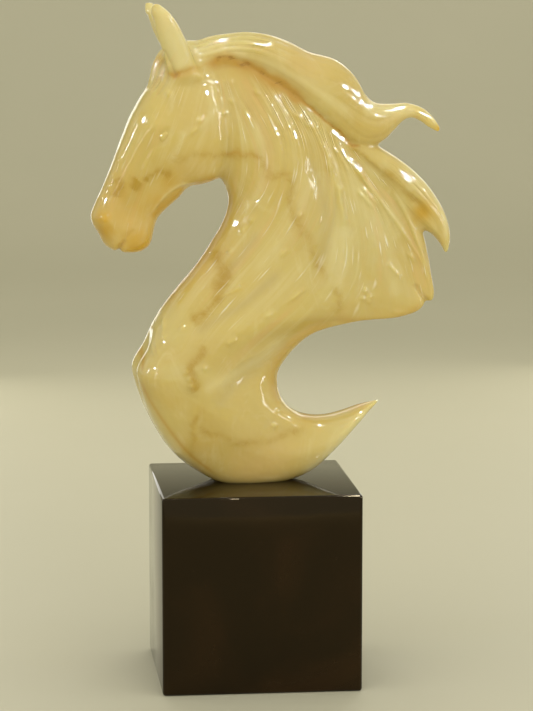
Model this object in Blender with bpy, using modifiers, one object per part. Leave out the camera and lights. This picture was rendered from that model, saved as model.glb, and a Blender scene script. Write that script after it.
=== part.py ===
# Horse sculpture: a polished stone head, neck and flying mane on a dark cube plinth.
# Metres, +Z up. The origin is the centre of the plinth's underside.
# The horse looks along -X, and both its sides are alike about its own middle plane.

import math

import bmesh
import bpy
import numpy as np
from mathutils import Matrix

# Plinth: a cube with a fine chamfer on every edge.
PLINTH_WIDTH = 0.100
PLINTH_DEPTH = 0.100
PLINTH_HEIGHT = 0.100
PLINTH_CHAMFER = 0.0020

# Figure: its height is from its flat foot to its ear tips.
FIGURE_HEIGHT = 0.2414
FIGURE_TURN = math.radians(3.0)
FOOT_GAP = 0.0003

# Every form below is drawn in millimetres for a figure this tall, with x from the middle
# of the foot and z from the foot up, and follows FIGURE_HEIGHT as a share of it.
DRAWN_HEIGHT = 241.4
FIGURE_UNIT = FIGURE_HEIGHT / DRAWN_HEIGHT

# Fineness of the stone's surface, in drawn millimetres, and of the finished solid.
SURFACE_STEP = 1.5
POLISH_ROUNDS = 5
FIGURE_TRIANGLES = 9000

# Each form is a loft of flat sections. A section runs from an outer point to an inner point
# in the middle plane and swells to its half width on both sides. Its columns are:
# outer x, outer z, inner x, inner z, half width, where along it is widest,
# how blunt its outer end is, and how thick its inner edge stays.
NECK_SECTIONS = (
    (-36.0, 186.0, -16.0, 216.0, 11.0, 0.50, 2.0, 0.80),
    (-25.0, 168.0, 10.0, 213.0, 13.0, 0.42, 2.0, 0.70),
    (-15.5, 152.8, 38.0, 195.0, 14.5, 0.34, 2.0, 0.56),
    (-12.3, 143.0, 62.0, 167.5, 15.5, 0.30, 2.0, 0.40),
    (-14.8, 133.0, 79.0, 148.0, 16.0, 0.28, 2.0, 0.32),
    (-20.5, 122.8, 86.5, 127.0, 17.0, 0.27, 2.1, 0.28),
    (-28.5, 111.0, 88.5, 106.0, 18.5, 0.27, 2.1, 0.26),
    (-37.0, 101.0, 88.6, 88.0, 20.5, 0.27, 2.2, 0.25),
    (-44.8, 91.2, 76.0, 82.0, 22.5, 0.28, 2.3, 0.26),
    (-51.0, 81.0, 54.0, 80.4, 25.0, 0.30, 2.4, 0.30),
    (-55.6, 70.4, 30.0, 74.0, 27.0, 0.32, 2.7, 0.38),
    (-61.2, 60.0, 14.8, 59.4, 28.5, 0.34, 3.0, 0.46),
    (-60.2, 51.5, 12.4, 49.0, 28.5, 0.36, 3.2, 0.52),
    (-54.4, 36.0, 16.0, 39.6, 26.5, 0.38, 3.2, 0.56),
    (-44.4, 18.8, 22.4, 34.6, 23.0, 0.40, 3.2, 0.58),
    (-32.0, 7.4, 27.6, 32.8, 20.0, 0.42, 3.2, 0.60),
    (-15.0, -1.2, 32.6, 32.1, 18.0, 0.44, 3.2, 0.62),
    (8.0, -1.9, 39.0, 32.4, 16.5, 0.45, 3.0, 0.64),
    (26.0, 2.2, 46.6, 34.2, 14.5, 0.48, 2.6, 0.66),
    (38.6, 11.4, 53.4, 36.5, 12.0, 0.55, 2.2, 0.70),
    (50.5, 23.2, 58.8, 38.0, 8.0, 0.60, 2.0, 0.75),
    (60.0, 33.4, 62.8, 38.9, 3.4, 0.60, 2.0, 0.80),
    (65.4, 38.6, 66.2, 40.2, 1.6, 0.60, 2.0, 0.90),
)
HEAD_SECTIONS = (
    (-28.0, 221.0, -12.0, 198.0, 9.0, 0.50, 2.2, 0.80),
    (-38.0, 219.0, -9.5, 180.0, 14.5, 0.48, 2.4, 0.78),
    (-46.0, 212.0, -11.0, 165.0, 17.5, 0.45, 2.6, 0.76),
    (-51.4, 202.6, -17.0, 154.6, 18.8, 0.42, 2.6, 0.74),
    (-56.2, 195.2, -25.0, 151.2, 19.0, 0.40, 2.6, 0.72),
    (-61.2, 186.4, -32.5, 149.8, 18.0, 0.40, 2.6, 0.72),
    (-66.0, 175.0, -38.0, 144.2, 15.4, 0.42, 2.6, 0.74),
    (-71.0, 162.0, -44.2, 138.8, 13.0, 0.44, 2.5, 0.78),
    (-76.0, 149.9, -48.3, 134.4, 11.8, 0.46, 2.4, 0.82),
    (-79.8, 141.8, -50.0, 129.6, 12.2, 0.46, 2.3, 0.84),
    (-81.9, 136.2, -51.2, 124.2, 12.6, 0.44, 2.3, 0.84),
    (-81.0, 131.8, -52.6, 120.8, 12.0, 0.44, 2.2, 0.84),
    (-78.2, 127.2, -56.0, 118.2, 11.0, 0.46, 2.2, 0.84),
    (-75.4, 121.8, -60.4, 117.2, 9.4, 0.50, 2.2, 0.84),
    (-72.0, 119.0, -66.4, 117.6, 6.0, 0.50, 2.2, 0.84),
)
CREST_SECTIONS = (
    (-34.0, 220.0, -30.0, 204.0, 8.0, 0.50, 2.0, 0.90),
    (-23.0, 224.6, -24.0, 208.0, 11.0, 0.50, 2.0, 0.90),
    (-13.0, 226.3, -14.0, 210.0, 12.5, 0.50, 2.0, 0.90),
    (-3.0, 227.1, -4.5, 207.0, 13.2, 0.50, 2.0, 0.90),
    (8.0, 225.6, 6.5, 200.5, 13.6, 0.50, 2.0, 0.90),
    (18.5, 222.0, 18.5, 191.0, 13.6, 0.50, 2.0, 0.90),
    (29.0, 216.8, 31.0, 182.0, 13.2, 0.50, 2.0, 0.90),
    (41.7, 213.2, 43.0, 172.5, 12.4, 0.50, 2.0, 0.90),
    (51.6, 205.2, 56.0, 167.0, 11.2, 0.50, 2.0, 0.90),
    (57.2, 195.6, 65.5, 171.2, 9.4, 0.50, 2.0, 0.90),
    (62.4, 191.4, 72.4, 177.2, 7.6, 0.50, 2.0, 0.95),
    (71.0, 190.6, 77.2, 182.0, 6.0, 0.50, 2.0, 1.00),
    (79.0, 191.0, 81.6, 183.4, 4.8, 0.50, 2.0, 1.00),
    (86.6, 188.6, 86.0, 181.6, 3.8, 0.50, 2.0, 1.00),
    (92.0, 184.4, 90.2, 178.6, 3.0, 0.50, 2.0, 1.00),
    (95.6, 180.0, 93.4, 176.8, 2.2, 0.50, 2.0, 1.00),
    (97.4, 177.4, 95.8, 175.4, 1.4, 0.50, 2.0, 1.00),
)
FALLING_LOCK_SECTIONS = (
    (46.0, 182.0, 40.0, 172.0, 6.0, 0.50, 2.0, 1.00),
    (56.0, 174.6, 49.0, 163.6, 8.6, 0.48, 2.0, 1.00),
    (64.0, 169.6, 57.0, 157.4, 9.0, 0.46, 2.0, 1.00),
    (74.0, 163.4, 66.0, 149.0, 8.8, 0.44, 2.0, 1.00),
    (83.0, 156.4, 74.6, 139.6, 8.0, 0.42, 2.0, 1.00),
    (91.2, 147.8, 81.6, 131.6, 7.0, 0.42, 2.0, 1.00),
    (97.6, 137.9, 88.0, 126.6, 5.8, 0.42, 2.0, 1.00),
    (101.0, 129.4, 92.8, 123.6, 4.8, 0.44, 2.0, 1.00),
    (102.0, 122.6, 96.2, 119.8, 3.6, 0.46, 2.0, 1.00),
    (101.8, 117.8, 98.2, 116.8, 2.4, 0.50, 2.0, 1.00),
    (100.9, 113.6, 99.3, 113.2, 1.4, 0.50, 2.0, 1.00),
)
EDGE_LOCK_SECTIONS = (
    (78.0, 138.0, 72.0, 132.0, 4.4, 0.50, 2.0, 1.00),
    (86.4, 127.8, 78.4, 121.0, 5.4, 0.50, 2.0, 1.00),
    (90.2, 115.6, 82.8, 111.0, 5.2, 0.50, 2.0, 1.00),
    (92.4, 103.6, 86.4, 101.0, 4.6, 0.50, 2.0, 1.00),
    (93.9, 94.8, 88.8, 94.0, 3.8, 0.50, 2.0, 1.00),
    (93.4, 89.9, 90.2, 89.8, 2.2, 0.50, 2.0, 1.00),
)
FORELOCK_SECTIONS = (
    (-28.0, 223.0, -30.0, 212.0, 5.0, 0.50, 2.0, 1.00),
    (-39.0, 222.4, -38.0, 210.0, 7.0, 0.50, 2.0, 1.00),
    (-46.4, 218.2, -41.0, 206.0, 7.8, 0.50, 2.0, 1.00),
    (-50.4, 211.2, -43.6, 202.0, 7.6, 0.50, 2.0, 1.00),
    (-51.9, 205.0, -46.6, 198.6, 6.2, 0.50, 2.0, 1.00),
    (-53.2, 200.0, -50.4, 197.4, 3.0, 0.50, 2.0, 1.00),
)
EAR_SECTIONS = (
    (-42.6, 202.0, -23.0, 205.0, 7.0, 0.50, 2.0, 1.00),
    (-43.4, 212.6, -28.4, 211.6, 6.2, 0.50, 2.0, 1.00),
    (-45.2, 218.4, -31.0, 218.4, 5.8, 0.50, 2.0, 1.00),
    (-47.4, 224.2, -34.2, 224.0, 5.2, 0.50, 2.0, 1.00),
    (-49.3, 230.4, -37.6, 230.2, 4.6, 0.50, 2.0, 1.00),
    (-50.2, 235.6, -41.2, 235.6, 3.8, 0.50, 2.0, 1.00),
    (-50.4, 239.0, -44.8, 239.0, 2.4, 0.50, 2.0, 1.00),
    (-50.2, 241.4, -48.0, 241.4, 1.3, 0.50, 2.0, 1.00),
)
EAR_BASE_SPREAD = 11.0
EAR_TIP_SPREAD = 18.5
INNER_BLUNTNESS = 2.4

# Carving lines, as (x, z) points in the middle plane, cut on both sides.
# The mane's strands lie between these five leading strands.
LEADING_STRANDS = (
    ((-15.0, 207.0), (-2.0, 180.0), (3.0, 150.0), (-4.0, 127.0), (-24.0, 103.0), (-41.0, 79.0)),
    ((-7.0, 207.0), (10.0, 178.0), (16.0, 149.0), (8.0, 123.0), (-15.0, 98.0), (-37.0, 68.0)),
    ((3.0, 202.0), (25.0, 174.0), (31.0, 146.0), (26.0, 118.0), (6.0, 89.0), (-16.0, 58.0)),
    ((20.0, 190.0), (42.0, 162.0), (49.0, 135.0), (50.0, 112.0), (44.0, 92.0), (34.0, 78.0)),
    ((40.0, 174.0), (60.0, 147.0), (74.0, 123.0), (82.0, 106.0), (86.0, 94.0), (88.0, 86.0)),
)
STRANDS_BETWEEN = 1
STRAND_WIDTH = 3.2
STRAND_DEPTH = 1.1
CREST_STRANDS = (
    ((-22.0, 220.0), (0.0, 219.5), (20.0, 211.0), (38.0, 201.0), (52.0, 187.0), (66.0, 184.0)),
    ((-20.0, 215.5), (0.0, 212.0), (20.0, 200.0), (38.0, 187.0), (54.0, 178.0), (68.0, 180.0)),
)
FALLING_LOCK_STRANDS = (
    ((58.0, 167.0), (70.0, 157.6), (81.0, 147.6), (90.0, 136.6), (96.0, 126.0)),
)
FORELOCK_STRANDS = (
    ((-36.0, 219.0), (-43.0, 215.0), (-47.0, 208.0), (-49.5, 202.0)),
)
MOUTH_LINE = ((-69.0, 117.0), (-65.0, 122.6), (-61.4, 127.2), (-56.5, 130.0))
JAW_LINE = ((-33.0, 152.6), (-40.0, 149.6), (-46.6, 143.4), (-51.6, 136.6))
SHOULDER_LINE = ((30.0, 86.0), (18.0, 75.0), (4.7, 66.2), (-9.1, 56.2), (-24.4, 42.0), (-30.0, 26.0))
THROAT_LINE = ((-17.5, 156.0), (-12.0, 165.0), (-9.8, 178.0), (-12.0, 193.0))
CHEST_GROOVE = ((-54.0, 78.0), (-57.5, 68.0), (-61.0, 60.0), (-60.5, 52.0))
EAR_HOLLOW = ((-46.0, 214.0), (-48.5, 221.0), (-50.5, 229.0), (-50.8, 235.0))

# Raised and sunken spots: x, z, radius and height in millimetres.
EYE = (-49.5, 175.2, 7.0, 2.4)
EYE_SOCKET = (-49.0, 175.0, 14.0, -1.8)
BROW = (-51.5, 180.5, 6.0, 1.2)
NOSTRIL_RIM = (-74.6, 133.2, 8.0, 2.0)
NOSTRIL = (-75.4, 133.0, 3.6, -3.2)
CHEEK = (-29.0, 168.0, 22.0, 1.6)

STONE_COLOUR = (0.70, 0.52, 0.22, 1.0)
STONE_ROUGHNESS = 0.12
PLINTH_COLOUR = (0.018, 0.013, 0.010, 1.0)
PLINTH_ROUGHNESS = 0.10

SECTION_STEPS = 6
SIDE_STEPS = 24


def clear_scene():
    for old in list(bpy.data.objects):
        bpy.data.objects.remove(old)


def material(name, colour, roughness):
    made = bpy.data.materials.new(name)
    made.use_nodes = True
    shader = made.node_tree.nodes["Principled BSDF"]
    shader.inputs["Base Color"].default_value = colour
    shader.inputs["Roughness"].default_value = roughness
    shader.inputs["Metallic"].default_value = 0.0
    return made


def curve_through(points, steps):
    """A smooth Catmull-Rom run through rows of numbers, with this many steps between two rows."""
    rows = np.array(points, float)
    padded = np.vstack((2 * rows[0] - rows[1], rows, 2 * rows[-1] - rows[-2]))
    run = []
    for before, start, end, after in zip(padded, padded[1:], padded[2:], padded[3:]):
        for t in np.arange(steps) / steps:
            run.append(
                0.5
                * (
                    2 * start
                    + (end - before) * t
                    + (2 * before - 5 * start + 4 * end - after) * t**2
                    + (3 * start - before - 3 * end + after) * t**3
                )
            )
    run.append(rows[-1])
    return np.array(run)


def swelling(share, peak, bluntness, edge, edge_start):
    """A section's half width, as a share of its widest, at a share of the way along it."""
    if share < peak:
        return (1 - (1 - share / peak) ** bluntness) ** (1 / bluntness)
    fall = (share - peak) / (1 - peak)
    kept = edge + (1 - edge) * (0.5 + 0.5 * math.cos(math.pi * fall))
    rounding = max(0.0, (fall - edge_start) / (1 - edge_start))
    return kept * max(0.0, 1 - rounding**INNER_BLUNTNESS) ** (1 / INNER_BLUNTNESS)


def section_loop(section, middle):
    """One closed loop of points round a section whose middle plane lies at y = middle."""
    outer, inner = section[0:2], section[2:4]
    half_width, peak, bluntness, edge = section[4:8]
    length = np.linalg.norm(inner - outer)
    edge_start = max(0.0, 1 - edge * half_width / (length * (1 - peak)))
    shares = 0.5 - 0.5 * np.cos(np.pi * np.arange(SIDE_STEPS + 1) / SIDE_STEPS)
    side = []
    for share in shares:
        x, z = outer + (inner - outer) * share
        side.append((x, half_width * swelling(share, peak, bluntness, edge, edge_start), z))
    near = [(x, middle - y, z) for x, y, z in side]
    far = [(x, middle + y, z) for x, y, z in side[-2:0:-1]]
    return near + far


def add_loft(shape, sections, middle_start=0.0, middle_end=0.0):
    """Adds a closed loft of the sections to a bmesh. Its middle plane leans from one y to another."""
    rows = curve_through(sections, SECTION_STEPS)
    middles = np.linspace(middle_start, middle_end, len(rows))
    loops = []
    for row, middle in zip(rows, middles):
        loops.append([shape.verts.new(point) for point in section_loop(row, middle)])
    faces = [shape.faces.new(loops[0]), shape.faces.new(loops[-1][::-1])]
    for first, second in zip(loops, loops[1:]):
        for index, corner in enumerate(first):
            after = (index + 1) % len(first)
            faces.append(shape.faces.new((corner, second[index], second[after], first[after])))
    bmesh.ops.recalc_face_normals(shape, faces=faces)


def rough_figure():
    """Every form of the horse in one mesh, each a closed loft that overlaps its neighbours."""
    shape = bmesh.new()
    for sections in (
        NECK_SECTIONS,
        HEAD_SECTIONS,
        CREST_SECTIONS,
        FALLING_LOCK_SECTIONS,
        EDGE_LOCK_SECTIONS,
        FORELOCK_SECTIONS,
    ):
        add_loft(shape, sections)
    for side in (-1, 1):
        add_loft(shape, EAR_SECTIONS, side * EAR_BASE_SPREAD, side * EAR_TIP_SPREAD)
    mesh = bpy.data.meshes.new("horse")
    shape.to_mesh(mesh)
    shape.free()
    return bpy.data.objects.new("horse", mesh)


def apply_modifiers(thing):
    """Keeps the object's evaluated mesh as its own and takes its modifiers off."""
    bpy.context.view_layer.update()
    evaluated = thing.evaluated_get(bpy.context.evaluated_depsgraph_get())
    thing.data = bpy.data.meshes.new_from_object(evaluated)
    thing.modifiers.clear()


def fuse(thing):
    """Makes the overlapping lofts one skin and polishes the seams between them."""
    remesh = thing.modifiers.new("one_skin", "REMESH")
    remesh.mode = "VOXEL"
    remesh.voxel_size = SURFACE_STEP
    polish = thing.modifiers.new("polish", "SMOOTH")
    polish.factor = 0.5
    polish.iterations = POLISH_ROUNDS
    apply_modifiers(thing)


def between(first, second, share):
    return [tuple((1 - share) * a + share * b for a, b in zip(p, q)) for p, q in zip(first, second)]


def mane_strands():
    """The leading strands and an even number of strands between each two."""
    strands = []
    for first, second in zip(LEADING_STRANDS, LEADING_STRANDS[1:]):
        for step in range(STRANDS_BETWEEN + 1):
            strands.append(between(first, second, step / (STRANDS_BETWEEN + 1)))
    strands.append(LEADING_STRANDS[-1])
    return strands


class Surface:
    """A mesh's points and normals as arrays, for moving them along their normals."""

    def __init__(self, mesh):
        self.mesh = mesh
        self.points = np.empty(len(mesh.vertices) * 3, np.float32)
        mesh.vertices.foreach_get("co", self.points)
        self.points = self.points.reshape(-1, 3).astype(float)
        self.normals = np.array([v.normal for v in mesh.vertices])
        self.push = np.zeros(len(self.points))

    def nearest(self, line):
        """How far each point is, seen from the side, from a line, and how far along it that is."""
        path = curve_through(line, 12)
        offsets = self.points[:, None, 0::2] - path[None, :, :]
        distances = np.linalg.norm(offsets, axis=2)
        return distances.min(axis=1), distances.argmin(axis=1) / (len(path) - 1)

    def carve(self, line, width, depth):
        """Sinks a soft-edged groove along a line of (x, z) points, on both side faces."""
        distance, along = self.nearest(line)
        fade = np.clip(5 * along * (1 - along), 0, 1)
        groove = np.exp(-((distance / width) ** 2))
        self.push -= depth * fade * groove * np.abs(self.normals[:, 1])

    def raise_spot(self, x, z, radius, height):
        """Swells, or sinks if height is negative, a round spot on both side faces."""
        distance = np.hypot(self.points[:, 0] - x, self.points[:, 2] - z)
        dome = np.clip(1 - (distance / radius) ** 2, 0, 1) ** 2
        self.push += height * dome * np.abs(self.normals[:, 1])

    def groove_middle(self, line, width, depth):
        """Sinks a groove along a line in the middle plane, where both sides meet."""
        distance, along = self.nearest(line)
        fade = np.clip(5 * along * (1 - along), 0, 1)
        self.push -= depth * fade * np.exp(-(distance**2 + self.points[:, 1] ** 2) / width**2)

    def settle(self):
        """Moves the points by what the tools above have gathered."""
        moved = self.points + self.normals * self.push[:, None]
        self.mesh.vertices.foreach_set("co", moved.astype(np.float32).ravel())
        self.mesh.update()


def carve_figure(mesh):
    surface = Surface(mesh)
    for strand in mane_strands():
        surface.carve(strand, STRAND_WIDTH, STRAND_DEPTH)
    for strand in CREST_STRANDS + FALLING_LOCK_STRANDS + FORELOCK_STRANDS:
        surface.carve(strand, STRAND_WIDTH, STRAND_DEPTH)
    surface.carve(MOUTH_LINE, 1.8, 1.6)
    surface.carve(JAW_LINE, 2.4, 1.2)
    surface.carve(SHOULDER_LINE, 5.0, 1.4)
    surface.carve(THROAT_LINE, 4.0, 1.4)
    surface.carve(EAR_HOLLOW, 2.6, 1.8)
    for spot in (CHEEK, EYE_SOCKET, BROW, EYE, NOSTRIL_RIM, NOSTRIL):
        surface.raise_spot(*spot)
    surface.groove_middle(CHEST_GROOVE, 9.0, 4.0)
    surface.settle()


def thin_out(thing):
    """Leaves the carved surface as few triangles as the solid needs."""
    thing.data.calc_loop_triangles()
    thin = thing.modifiers.new("thin_out", "DECIMATE")
    thin.ratio = FIGURE_TRIANGLES / len(thing.data.loop_triangles)
    apply_modifiers(thing)


def flatten_foot(mesh):
    """Cuts the figure off flat at z = 0, where it stands."""
    shape = bmesh.new()
    shape.from_mesh(mesh)
    cut = bmesh.ops.bisect_plane(
        shape,
        geom=shape.verts[:] + shape.edges[:] + shape.faces[:],
        plane_co=(0, 0, 0),
        plane_no=(0, 0, 1),
        clear_inner=True,
    )
    rim = [item for item in cut["geom_cut"] if isinstance(item, bmesh.types.BMEdge)]
    bmesh.ops.contextual_create(shape, geom=rim)
    bmesh.ops.triangulate(shape, faces=shape.faces[:])
    shape.to_mesh(mesh)
    shape.free()


def build_horse(collection):
    horse = rough_figure()
    collection.objects.link(horse)
    fuse(horse)
    carve_figure(horse.data)
    thin_out(horse)
    flatten_foot(horse.data)
    horse.data.materials.clear()
    horse.data.materials.append(material("veined_stone", STONE_COLOUR, STONE_ROUGHNESS))
    horse.data.transform(Matrix.Scale(FIGURE_UNIT, 4))
    horse.rotation_euler.z = FIGURE_TURN
    horse.location.z = PLINTH_HEIGHT + FOOT_GAP
    horse.data.shade_smooth()


def build_plinth(collection):
    bpy.ops.mesh.primitive_cube_add(size=1.0, location=(0, 0, PLINTH_HEIGHT / 2))
    plinth = bpy.context.object
    plinth.name = "plinth"
    plinth.data.transform(Matrix.Diagonal((PLINTH_WIDTH, PLINTH_DEPTH, PLINTH_HEIGHT, 1)))
    chamfer = plinth.modifiers.new("chamfer", "BEVEL")
    chamfer.width = PLINTH_CHAMFER
    chamfer.segments = 1
    plinth.data.materials.append(material("dark_stone", PLINTH_COLOUR, PLINTH_ROUGHNESS))
    for home in list(plinth.users_collection):
        home.objects.unlink(plinth)
    collection.objects.link(plinth)


def main():
    clear_scene()
    collection = bpy.data.collections.new("horse_sculpture")
    bpy.context.scene.collection.children.link(collection)
    build_plinth(collection)
    build_horse(collection)


main()
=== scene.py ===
import math

import bmesh
import bpy
import numpy as np
from mathutils import Matrix, Vector
from mathutils.bvhtree import BVHTree
from mathutils.geometry import barycentric_transform


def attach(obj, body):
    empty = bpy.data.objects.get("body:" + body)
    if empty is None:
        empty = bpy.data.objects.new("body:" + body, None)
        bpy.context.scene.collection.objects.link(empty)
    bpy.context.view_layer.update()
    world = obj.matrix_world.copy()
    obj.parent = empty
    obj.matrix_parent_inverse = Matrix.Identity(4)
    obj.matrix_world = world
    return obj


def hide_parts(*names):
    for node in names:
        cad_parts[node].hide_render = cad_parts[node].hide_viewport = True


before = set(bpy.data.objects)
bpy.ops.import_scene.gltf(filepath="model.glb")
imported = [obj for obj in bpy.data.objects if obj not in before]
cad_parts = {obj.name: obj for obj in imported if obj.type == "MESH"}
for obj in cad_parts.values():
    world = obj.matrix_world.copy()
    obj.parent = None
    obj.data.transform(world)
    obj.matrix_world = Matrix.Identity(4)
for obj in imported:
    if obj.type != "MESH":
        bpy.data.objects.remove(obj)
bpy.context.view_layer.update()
print("the packed model is loaded")

view = {
    "place": (-0.1455, -1.4348, 0.3695),
    "pitch": -8.13,  # degrees above the horizon
    "yaw": -6.07,  # degrees to the left of straight ahead
    "lens": 145.2,
}
perMetre = 1000  # the horse is drawn in millimetres

plinth = {
    "size": 0.100,
    "bevel": 0.0016,
    "bevelSteps": 4,
    "sharpAngle": 35,
}

# x is from the middle of the foot, and z from the foot up.
# A section runs from an outer to an inner point: outer x and z, inner x and z, half width,
# where along it is widest, how blunt its outer end is, and how thick its inner edge stays.
horse = {
    "turn": 3,  # degrees the figure is turned on its plinth
    "standsAt": 0.1,
    "stepsBetween": 6,
    "sidePoints": 24,
    "edgePower": 2.4,  # how squarely an inner edge is rounded
    "voxel": 0.82,
    "polishFactor": 0.5,
    "polishRounds": 9,
    "lastPolish": 0.35,  # one round once the hair is cut
    "mostTriangles": 196000,
    # where two forms meet and the seam is worn down: x, z, reach
    "seams": (
        (-42, 205.5, 6),
        (-34, 205, 7),
        (-26, 207.5, 7),
        (-20, 212, 8),
        (-12, 213, 7),
        (-5, 212, 7),
        (2.8, 207.5, 7),
        (11, 202.5, 7),
        (18.5, 197.5, 7),
        (26.5, 191.5, 7),
        (33, 186, 6.5),
        (39, 180.5, 6.5),
        (45, 175.5, 6),
        (-31.5, 216, 4.5),
        (51, 163, 6),
        (58.7, 156.8, 6.5),
        (67.7, 148.4, 7),
        (76.4, 139, 7),
        (83.5, 130, 7),
        (85.5, 111.5, 6),
        (87, 96, 5),
        (-19, 155.5, 8),
    ),
    "seamRounds": 60,
    "leastWear": 0.02,
    "earBase": 11,
    "earTip": 18.5,
    # how far each ear is set back, at its base and at its tip
    "earBack": {-1: (-1.9, -1.9), 1: (4.2, -1.4)},
    "forms": {
        "neck": (
            (-36, 186, -16, 216, 11, 0.5, 2, 0.8),
            (-25, 168, 8, 216, 13.2, 0.42, 2, 0.7),
            (-15.5, 152.8, 38, 195, 14.5, 0.34, 2, 0.56),
            (-12.3, 143, 62, 167.5, 15.5, 0.3, 2, 0.4),
            (-14.8, 133, 79, 148, 16, 0.28, 2, 0.32),
            (-20.5, 122.8, 86.5, 127, 17, 0.27, 2.1, 0.28),
            (-28.5, 111, 88.5, 106, 18.5, 0.27, 2.1, 0.26),
            (-37, 101, 88.6, 88, 20.5, 0.27, 2.2, 0.25),
            (-44.8, 91.2, 76, 82, 22.5, 0.28, 2.3, 0.26),
            (-51, 81, 54, 80.4, 25, 0.3, 2.4, 0.3),
            (-55.6, 70.4, 30, 74, 27, 0.32, 2.7, 0.38),
            (-61.2, 60, 14.8, 59.4, 28.5, 0.34, 3, 0.46),
            (-60.2, 51.5, 12.4, 49, 28.5, 0.36, 3.2, 0.52),
            (-54.4, 36, 16, 39.6, 26.5, 0.38, 3.2, 0.56),
            (-44.4, 18.8, 22.4, 34.6, 23, 0.4, 3.2, 0.58),
            (-32, 7.4, 27.6, 32.8, 20, 0.42, 3.2, 0.6),
            (-15, -1.2, 32.6, 32.1, 18, 0.44, 3.2, 0.62),
            (8, -1.9, 39, 32.4, 16.5, 0.45, 3, 0.64),
            (26, 2.2, 46.6, 34.2, 14.5, 0.48, 2.6, 0.66),
            (38.6, 11.4, 53.4, 36.5, 12, 0.55, 2.2, 0.7),
            (50.5, 23.2, 58.8, 38, 8, 0.6, 2, 0.75),
            (60, 33.4, 62.8, 38.9, 3.4, 0.6, 2, 0.8),
            (65, 38.4, 65.8, 39.9, 1.4, 0.6, 2, 0.9),
        ),
        "head": (
            (-28, 221, -12, 198, 9, 0.5, 2.2, 0.8),
            (-38, 219, -9.5, 180, 14.5, 0.48, 2.4, 0.78),
            (-46, 212, -11, 165, 17.5, 0.45, 2.6, 0.76),
            (-51.4, 202.6, -17, 154.6, 18.8, 0.42, 2.6, 0.74),
            (-56.2, 195.2, -25, 151.2, 19, 0.4, 2.6, 0.72),
            (-61.2, 186.4, -32.5, 149.8, 18, 0.4, 2.6, 0.72),
            (-66, 175, -38, 144.2, 15.4, 0.42, 2.6, 0.74),
            (-71, 162, -44.2, 138.8, 13, 0.44, 2.5, 0.78),
            (-76, 149.9, -48.3, 134.4, 11.8, 0.46, 2.4, 0.82),
            (-79.8, 141.8, -50, 129.6, 12.2, 0.46, 2.3, 0.84),
            (-81.9, 136.2, -51.2, 124.2, 12.6, 0.44, 2.3, 0.84),
            (-81, 131.8, -52.6, 120.8, 12, 0.44, 2.2, 0.84),
            (-78.2, 127.2, -56, 118.2, 11, 0.46, 2.2, 0.84),
            (-75.4, 121.8, -60.4, 117.2, 9.4, 0.5, 2.2, 0.84),
            (-72, 119, -66.4, 117.6, 6, 0.5, 2.2, 0.84),
        ),
        "crest": (
            (-34, 220, -30, 207, 8, 0.5, 2, 0.9),
            (-23, 224.6, -24, 206, 10.8, 0.5, 2, 0.9),
            (-13, 226.3, -14.5, 209.5, 12, 0.5, 2, 0.9),
            (-3, 227.1, -6, 208.8, 12.8, 0.5, 2, 0.9),
            (8, 225.6, 4.5, 205, 13.2, 0.5, 2, 0.9),
            (18.5, 222, 16.5, 197, 13.2, 0.5, 2, 0.9),
            (29, 216.8, 29, 187, 12.9, 0.5, 2, 0.9),
            (41.7, 213.2, 41.5, 176.6, 12.2, 0.5, 2, 0.9),
            (51.6, 205.2, 54, 168.6, 11, 0.5, 2, 0.9),
            (57.2, 195.6, 65.5, 171.2, 9.4, 0.5, 2, 0.9),
            (62.4, 191.4, 72.4, 177.2, 7.6, 0.5, 2, 0.95),
            (71, 190.6, 77.2, 182, 6),
            (79, 191, 81.6, 183.4, 4.8),
            (86.6, 188.6, 86, 181.6, 3.8),
            (92, 184.4, 90.2, 178.6, 3),
            (95.4, 179.8, 93.4, 176.8, 2),
            (96.7, 177.6, 95.3, 175.8, 1.2),
        ),
        "fallingLock": (
            (46, 182, 40, 172, 6),
            (56, 174.6, 49, 163.6, 7.6, 0.48, 2, 1),
            (64, 169.6, 57, 157.4, 7.8, 0.46, 2, 1),
            (74, 163.4, 66, 149, 7.7, 0.44, 2, 1),
            (83, 156.4, 74.6, 139.6, 7.1, 0.42, 2, 1),
            (91.2, 147.8, 81.6, 131.6, 6.4, 0.42, 2, 1),
            (97.6, 137.9, 88, 126.6, 5.8, 0.42, 2, 1),
            (101, 129.4, 92.8, 123.6, 4.8, 0.44, 2, 1),
            (102, 122.6, 96.2, 119.8, 3.6, 0.46, 2, 1),
            (101.6, 117.8, 98.2, 116.8, 2.2),
            (100.8, 114.4, 99.4, 114, 1.2),
        ),
        "edgeLock": (
            (78, 138, 72, 132, 4.4),
            (86.4, 127.8, 78.4, 121, 5.4),
            (90.2, 115.6, 82.8, 111, 5.2),
            (92.4, 103.6, 86.4, 101, 4.6),
            (93.9, 94.8, 88.8, 94, 3.8),
            (93.4, 89.9, 90.2, 89.8, 2.2),
        ),
        "forelock": (
            (-28, 223, -30, 212, 5),
            (-39, 222.4, -38, 210, 7),
            (-46.4, 218.2, -41, 206, 7.8),
            (-50.4, 211.2, -43.6, 202, 7.6),
            (-51.9, 205, -46.6, 198.6, 6.2),
            (-53.2, 200, -50.4, 197.4, 3),
        ),
        "ear": (
            (-42.6, 202, -23, 205, 7),
            (-44.2, 212.6, -28.4, 211.6, 6.4),
            (-46.4, 218.4, -30.8, 218.4, 6),
            (-48.8, 224.2, -33.8, 224, 5.5),
            (-50.6, 230.4, -37, 230.2, 5),
            (-51.2, 235.6, -40.6, 235.6, 4.2),
            (-51, 239.2, -44.4, 239.2, 3),
            (-50.2, 241.4, -47.4, 241.4, 1.8),
        ),
    },
}

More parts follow.
